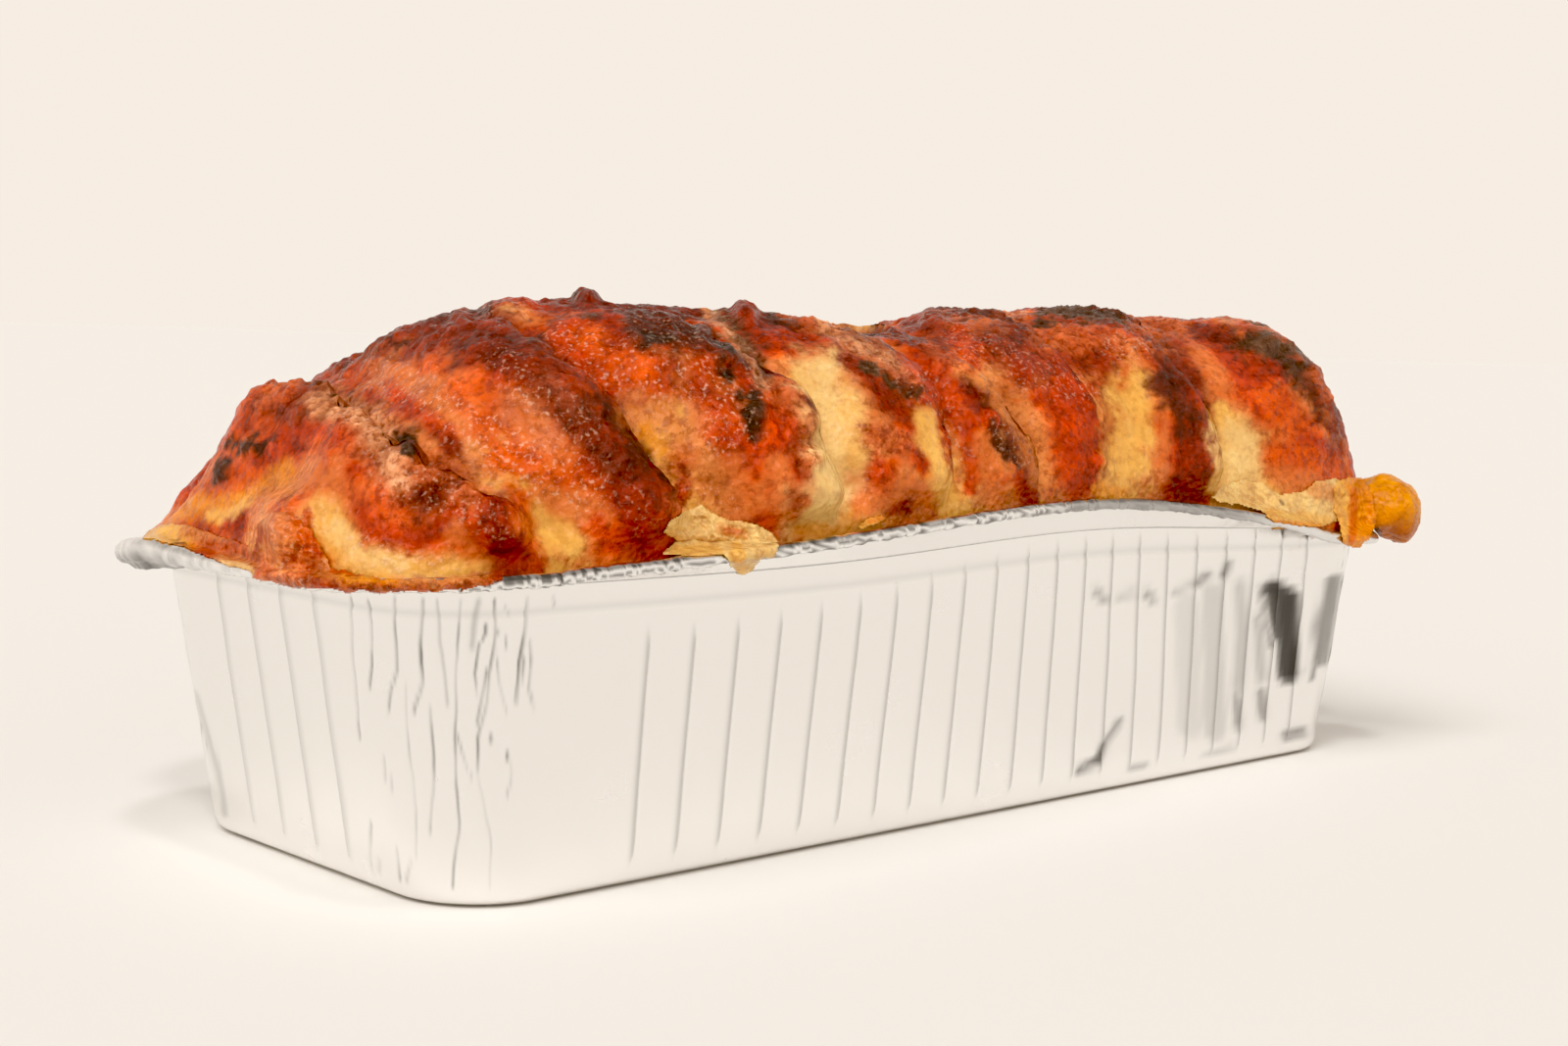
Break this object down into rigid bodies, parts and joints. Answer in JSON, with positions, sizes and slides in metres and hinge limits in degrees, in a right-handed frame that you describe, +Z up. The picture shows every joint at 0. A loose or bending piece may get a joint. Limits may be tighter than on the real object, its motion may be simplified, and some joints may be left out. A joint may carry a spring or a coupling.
{
  "type": "meatloaf in a foil tray",
  "caption": "Browned meatloaf with overlapping folds and melted cheese, risen out of its long ribbed aluminium foil tray.",
  "frame": {"origin": "middle of the tray's flat underside, on the surface it stands on", "axes": "+X along the tray towards its right end, +Y across it towards the back, +Z up; the ribbed front long side faces -Y"},
  "size_m": [0.3556, 0.1408, 0.1251],
  "materials": {
    "foil": "bright creased aluminium foil",
    "loaf": "browned glossy meat and cheese crust, dark on the folds and pale between them",
    "cheese": "melted pale cheese",
    "browned_cheese": "deep yellow melted cheese, browned below"
  },
  "bodies": {
    "root": {"foil_tray": "foil", "loaf": "loaf", "cheese_flap": "cheese", "cheese_spill": "cheese", "cheese_lump": "browned_cheese"}
  },
  "joints": []
}
